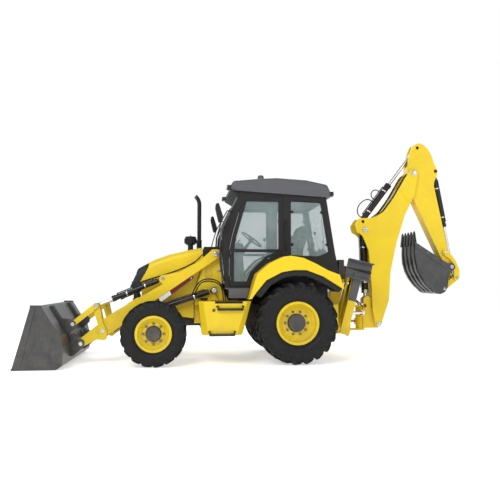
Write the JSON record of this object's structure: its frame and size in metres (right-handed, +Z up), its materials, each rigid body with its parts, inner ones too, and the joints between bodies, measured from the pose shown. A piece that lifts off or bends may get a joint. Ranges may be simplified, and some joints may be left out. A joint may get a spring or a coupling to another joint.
{
  "type": "backhoe loader",
  "caption": "Backhoe loader with a closed cab, a front loader bucket on lever-linked arms, and a rear digging arm folded upright between raised stabilizer legs.",
  "frame": {"origin": "on the ground, at the middle of the whole machine's length and width", "axes": "+X forward towards the loader bucket, +Y to the machine's left, +Z up"},
  "size_m": [7.2118, 2.3, 3.7068],
  "materials": {
    "body_yellow": "semi-gloss paint",
    "dark_paint": "satin paint",
    "bucket_steel": "worn satin paint",
    "cylinder_black": "gloss paint",
    "roof_plastic": "satin",
    "cast_metal": "painted casting",
    "rod_chrome": "polished",
    "window_glass": "clear",
    "tyre_rubber": "matte",
    "cushion": "woven",
    "red_paint": "satin paint",
    "lamp_plastic": "moulded"
  },
  "bodies": {
    "chassis": {"chassis_frame": "dark_paint", "powertrain": "cast_metal", "axles": "dark_paint", "loader_tower": "body_yellow", "side_panels": "body_yellow", "exhaust_stack": "dark_paint", "step_boxes": "body_yellow", "cab_frame": "dark_paint", "cab_roof": "roof_plastic", "cab_glass": "window_glass", "rear_fenders": "body_yellow", "operator_station": "cushion", "lamps": "lamp_plastic", "swing_barrels": "cylinder_black"},
    "hood": {"hood": "body_yellow", "grille": "dark_paint", "precleaner": "dark_paint"},
    "door_left": {"door_left": "dark_paint", "door_glass_left": "window_glass"},
    "door_right": {"door_right": "dark_paint", "door_glass_right": "window_glass"},
    "knuckle_left": {"knuckle_left": "dark_paint"},
    "knuckle_right": {"knuckle_right": "dark_paint"},
    "wheel_front_left": {"rim_front_left": "body_yellow", "tyre_front_left": "tyre_rubber"},
    "wheel_front_right": {"rim_front_right": "body_yellow", "tyre_front_right": "tyre_rubber"},
    "wheel_rear_left": {"rim_rear_left": "body_yellow", "tyre_rear_left": "tyre_rubber"},
    "wheel_rear_right": {"rim_rear_right": "body_yellow", "tyre_rear_right": "tyre_rubber"},
    "loader_arms": {"loader_arms": "body_yellow", "arm_lock_strut": "red_paint"},
    "lift_barrels": {"lift_barrels": "cylinder_black"},
    "lift_rods": {"lift_rods": "rod_chrome"},
    "tilt_barrels": {"tilt_barrels": "cylinder_black"},
    "tilt_rods": {"tilt_rods": "rod_chrome"},
    "bellcrank": {"bellcrank": "body_yellow"},
    "bucket_links": {"bucket_links": "body_yellow"},
    "loader_bucket": {"loader_bucket": "bucket_steel"},
    "swing_post": {"swing_post": "body_yellow"},
    "boom": {"boom": "body_yellow"},
    "dipper": {"dipper": "body_yellow"},
    "rocker": {"rocker": "body_yellow"},
    "dig_link": {"dig_link": "body_yellow"},
    "dig_bucket": {"dig_bucket": "bucket_steel"},
    "boom_barrel": {"boom_barrel": "cylinder_black"},
    "boom_rod": {"boom_rod": "rod_chrome"},
    "dipper_barrel": {"dipper_barrel": "cylinder_black"},
    "dipper_rod": {"dipper_rod": "rod_chrome"},
    "dig_barrel": {"dig_barrel": "cylinder_black"},
    "dig_rod": {"dig_rod": "rod_chrome"},
    "swing_rod_left": {"swing_rod_left": "rod_chrome"},
    "stabilizer_leg_left": {"stabilizer_leg_left": "body_yellow"},
    "stabilizer_barrel_left": {"stabilizer_barrel_left": "cylinder_black"},
    "stabilizer_rod_left": {"stabilizer_rod_left": "rod_chrome"},
    "swing_rod_right": {"swing_rod_right": "rod_chrome"},
    "stabilizer_leg_right": {"stabilizer_leg_right": "body_yellow"},
    "stabilizer_barrel_right": {"stabilizer_barrel_right": "cylinder_black"},
    "stabilizer_rod_right": {"stabilizer_rod_right": "rod_chrome"}
  },
  "joints": [
    {"name": "hood_hinge", "type": "hinge", "parent": "chassis", "child": "hood", "pos_m": [1.985, 0, 1.18], "axis": [0, 1, 0], "range_deg": [0, 65]},
    {"name": "door_left_hinge", "type": "hinge", "parent": "chassis", "child": "door_left", "pos_m": [0.475, 0.732, 1.2], "axis": [0, 0, -1], "range_deg": [0, 70]},
    {"name": "door_right_hinge", "type": "hinge", "parent": "chassis", "child": "door_right", "pos_m": [0.475, -0.732, 1.2], "axis": [0, 0, 1], "range_deg": [0, 70]},
    {"name": "steer_left", "type": "hinge", "parent": "chassis", "child": "knuckle_left", "pos_m": [1.62, 0.84, 0.492], "axis": [0, 0, 1], "range_deg": [-31, 31]},
    {"name": "steer_right", "type": "hinge", "parent": "chassis", "child": "knuckle_right", "pos_m": [1.62, -0.84, 0.492], "axis": [0, 0, 1], "range_deg": [-31, 31]},
    {"name": "spin_front_left", "type": "hinge", "parent": "knuckle_left", "child": "wheel_front_left", "pos_m": [1.62, 0.955, 0.492], "axis": [0, 1, 0], "continuous": true},
    {"name": "spin_rear_left", "type": "hinge", "parent": "chassis", "child": "wheel_rear_left", "pos_m": [-0.555, 0.875, 0.633], "axis": [0, 1, 0], "continuous": true},
    {"name": "spin_front_right", "type": "hinge", "parent": "knuckle_right", "child": "wheel_front_right", "pos_m": [1.62, -0.955, 0.492], "axis": [0, 1, 0], "continuous": true},
    {"name": "spin_rear_right", "type": "hinge", "parent": "chassis", "child": "wheel_rear_right", "pos_m": [-0.555, -0.875, 0.633], "axis": [0, 1, 0], "continuous": true},
    {"name": "loader_lift", "type": "hinge", "parent": "chassis", "child": "loader_arms", "pos_m": [0.675, 0, 1.71], "axis": [0, -1, 0], "range_deg": [-3.5, 78]},
    {"name": "lift_barrel_swing", "type": "hinge", "parent": "chassis", "child": "lift_barrels", "pos_m": [0.701, 0, 1.134], "axis": [0, -1, 0], "range_deg": [-5, 76]},
    {"name": "lift_rod_slide", "type": "slide", "parent": "lift_barrels", "child": "lift_rods", "axis": [0.9492, 0, -0.3147], "range_m": [-0.04, 0.74]},
    {"name": "loader_tilt", "type": "hinge", "parent": "loader_arms", "child": "loader_bucket", "pos_m": [2.748, 0, 0.317], "axis": [0, -1, 0], "range_deg": [-118, 38]},
    {"name": "bellcrank_swing", "type": "hinge", "parent": "loader_arms", "child": "bellcrank", "pos_m": [2.415, 0, 0.512], "axis": [0, -1, 0], "range_deg": [-88, 29]},
    {"name": "bucket_link_swing", "type": "hinge", "parent": "loader_bucket", "child": "bucket_links", "pos_m": [2.858, 0, 0.622], "axis": [0, -1, 0], "range_deg": [-32, 97]},
    {"name": "tilt_barrel_swing", "type": "hinge", "parent": "loader_arms", "child": "tilt_barrels", "pos_m": [1.508, 0, 1.318], "axis": [0, -1, 0], "range_deg": [-9, 4]},
    {"name": "tilt_rod_slide", "type": "slide", "parent": "tilt_barrels", "child": "tilt_rods", "axis": [0.9246, 0, -0.381], "range_m": [-0.2, 0.56]},
    {"name": "arm_swing", "type": "hinge", "parent": "chassis", "child": "swing_post", "pos_m": [-1.85, 0, 0.6], "axis": [0, 0, 1], "range_deg": [-90, 90]},
    {"name": "swing_rod_left_slide", "type": "slide", "parent": "chassis", "child": "swing_rod_left", "axis": [-1, 0, 0], "range_m": [-0.2, 0.2]},
    {"name": "swing_rod_right_slide", "type": "slide", "parent": "chassis", "child": "swing_rod_right", "axis": [-1, 0, 0], "range_m": [-0.2, 0.2]},
    {"name": "boom_lift", "type": "hinge", "parent": "swing_post", "child": "boom", "pos_m": [-2.132, 0, 0.545], "axis": [0, 1, 0], "range_deg": [-115, 0]},
    {"name": "boom_barrel_swing", "type": "hinge", "parent": "boom", "child": "boom_barrel", "pos_m": [-1.912, 0, 2.165], "axis": [0, 1, 0], "range_deg": [-12, 2]},
    {"name": "boom_rod_slide", "type": "slide", "parent": "boom_barrel", "child": "boom_rod", "axis": [-0.0284, 0, -0.9996], "range_m": [-0.02, 0.78]},
    {"name": "dipper_swing", "type": "hinge", "parent": "boom", "child": "dipper", "pos_m": [-2.801, 0, 3.167], "axis": [0, -1, 0], "range_deg": [-105, 0]},
    {"name": "dipper_barrel_swing", "type": "hinge", "parent": "boom", "child": "dipper_barrel", "pos_m": [-1.873, 0, 2.303], "axis": [0, -1, 0], "range_deg": [-16, 2]},
    {"name": "dipper_rod_slide", "type": "slide", "parent": "dipper_barrel", "child": "dipper_rod", "axis": [-0.6097, 0, 0.7926], "range_m": [-0.72, 0.02]},
    {"name": "dig_bucket_swing", "type": "hinge", "parent": "dipper", "child": "dig_bucket", "pos_m": [-3.456, 0, 1.533], "axis": [0, -1, 0], "range_deg": [-165, 0]},
    {"name": "rocker_swing", "type": "hinge", "parent": "dipper", "child": "rocker", "pos_m": [-3.349, 0, 1.783], "axis": [0, -1, 0], "range_deg": [-112, 2]},
    {"name": "dig_link_swing", "type": "hinge", "parent": "dig_bucket", "child": "dig_link", "pos_m": [-3.312, 0, 1.149], "axis": [0, -1, 0], "range_deg": [-2, 86]},
    {"name": "dig_barrel_swing", "type": "hinge", "parent": "dipper", "child": "dig_barrel", "pos_m": [-3.215, 0, 3.216], "axis": [0, -1, 0], "range_deg": [-20, 2]},
    {"name": "dig_rod_slide", "type": "slide", "parent": "dig_barrel", "child": "dig_rod", "axis": [-0.1809, 0, -0.9835], "range_m": [-0.79, 0.02]},
    {"name": "stabilizer_left_lower", "type": "hinge", "parent": "chassis", "child": "stabilizer_leg_left", "pos_m": [-1.393, 0.56, 0.48], "axis": [-0.9744, 0, -0.225], "range_deg": [0, 115]},
    {"name": "stabilizer_left_barrel_swing", "type": "hinge", "parent": "chassis", "child": "stabilizer_barrel_left", "pos_m": [-1.57971, 0.43, 1.28873], "axis": [-0.9744, 0, -0.225], "range_deg": [-22, 2]},
    {"name": "stabilizer_left_rod_slide", "type": "slide", "parent": "stabilizer_barrel_left", "child": "stabilizer_rod_left", "axis": [0.2222, 0.1546, -0.9626], "range_m": [-0.02, 0.4]},
    {"name": "stabilizer_right_lower", "type": "hinge", "parent": "chassis", "child": "stabilizer_leg_right", "pos_m": [-1.393, -0.56, 0.48], "axis": [0.9744, 0, 0.225], "range_deg": [0, 115]},
    {"name": "stabilizer_right_barrel_swing", "type": "hinge", "parent": "chassis", "child": "stabilizer_barrel_right", "pos_m": [-1.57971, -0.43, 1.28873], "axis": [0.9744, 0, 0.225], "range_deg": [-22, 2]},
    {"name": "stabilizer_right_rod_slide", "type": "slide", "parent": "stabilizer_barrel_right", "child": "stabilizer_rod_right", "axis": [0.2222, -0.1546, -0.9626], "range_m": [-0.02, 0.4]}
  ],
  "couplings": [
    {"joint": "steer_right", "follows": "steer_left", "ratio": 1},
    {"joint": "lift_barrel_swing", "follows": "loader_lift", "ratio": 0.947},
    {"joint": "lift_rod_slide", "follows": "loader_lift", "m_per_rad": 0.5314},
    {"joint": "bellcrank_swing", "follows": "loader_tilt", "ratio": 0.733},
    {"joint": "bucket_link_swing", "follows": "loader_tilt", "ratio": -0.8105},
    {"joint": "tilt_barrel_swing", "follows": "loader_tilt", "ratio": 0.0693},
    {"joint": "tilt_rod_slide", "follows": "loader_tilt", "m_per_rad": -0.2615},
    {"joint": "swing_rod_left_slide", "follows": "arm_swing", "m_per_rad": 0.121},
    {"joint": "swing_rod_right_slide", "follows": "arm_swing", "m_per_rad": -0.121},
    {"joint": "boom_barrel_swing", "follows": "boom_lift", "ratio": 0.078},
    {"joint": "boom_rod_slide", "follows": "boom_lift", "m_per_rad": -0.3673},
    {"joint": "dipper_barrel_swing", "follows": "dipper_swing", "ratio": 0.133},
    {"joint": "dipper_rod_slide", "follows": "dipper_swing", "m_per_rad": 0.3759},
    {"joint": "rocker_swing", "follows": "dig_bucket_swing", "ratio": 0.6618},
    {"joint": "dig_link_swing", "follows": "dig_bucket_swing", "ratio": -0.5072},
    {"joint": "dig_barrel_swing", "follows": "dig_bucket_swing", "ratio": 0.109},
    {"joint": "dig_rod_slide", "follows": "dig_bucket_swing", "m_per_rad": 0.2238},
    {"joint": "stabilizer_left_barrel_swing", "follows": "stabilizer_left_lower", "ratio": -0.168},
    {"joint": "stabilizer_left_rod_slide", "follows": "stabilizer_left_lower", "m_per_rad": 0.1724},
    {"joint": "stabilizer_right_barrel_swing", "follows": "stabilizer_right_lower", "ratio": -0.168},
    {"joint": "stabilizer_right_rod_slide", "follows": "stabilizer_right_lower", "m_per_rad": 0.1724}
  ]
}
